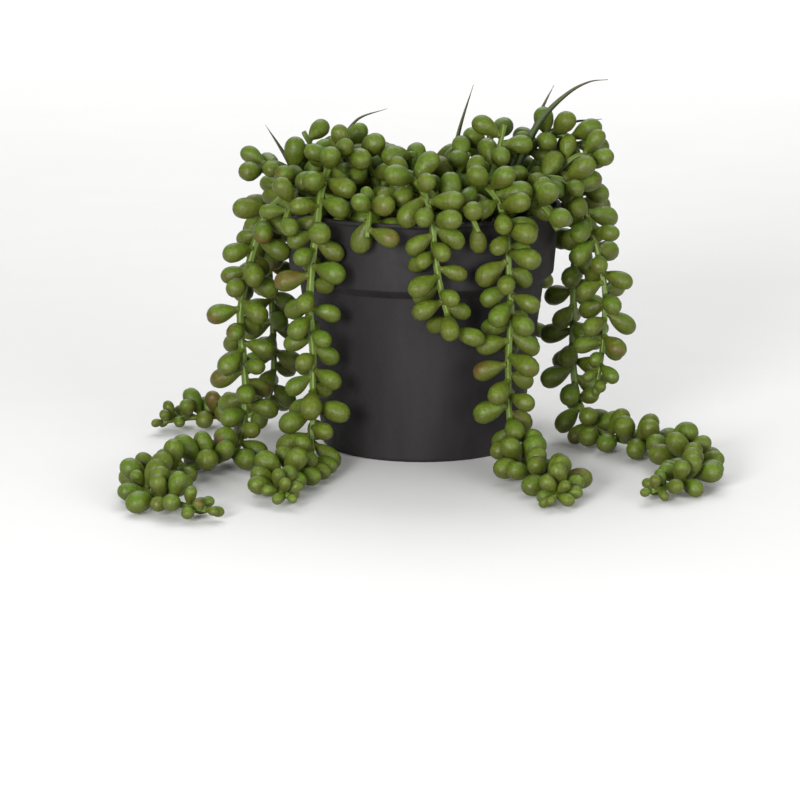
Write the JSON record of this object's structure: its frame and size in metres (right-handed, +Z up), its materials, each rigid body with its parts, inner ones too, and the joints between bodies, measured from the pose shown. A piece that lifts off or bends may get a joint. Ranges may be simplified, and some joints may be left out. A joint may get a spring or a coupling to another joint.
{
  "type": "potted string of pearls",
  "caption": "Trailing succulent with club-shaped leaves in a round tapered pot, its strands hanging over the rim and lying along the surface.",
  "frame": {"origin": "centre of the pot's flat underside", "axes": "+Z up out of the pot, -Y towards the front, where the longest strands lie; +X to the right seen from the front"},
  "size_m": [0.25, 0.2311, 0.1591],
  "materials": {
    "pot": "matte",
    "soil": "matte",
    "leaf": "satin",
    "stem": "satin",
    "blade": "satin"
  },
  "bodies": {
    "root": {"pot": "pot", "soil": "soil", "strand_left_outer": "leaf", "strand_left_behind": "leaf", "strand_left_front": "leaf", "strand_centre": "leaf", "strand_right_front": "leaf", "strand_right_short": "leaf", "strand_right_outer": "leaf", "strand_back_left": "leaf", "strand_back_middle": "leaf", "strand_back_right": "leaf", "sprig_01": "leaf", "sprig_02": "leaf", "sprig_03": "leaf", "sprig_04": "leaf", "sprig_05": "leaf", "sprig_06": "leaf", "sprig_07": "leaf", "sprig_08": "leaf", "sprig_09": "leaf", "sprig_10": "leaf", "sprig_11": "leaf", "sprig_12": "leaf", "sprig_13": "leaf", "sprig_14": "leaf", "sprig_15": "leaf", "sprig_16": "leaf", "sprig_17": "leaf", "blade_01": "blade", "blade_02": "blade", "blade_03": "blade", "blade_04": "blade", "blade_05": "blade", "blade_06": "blade"}
  },
  "joints": []
}
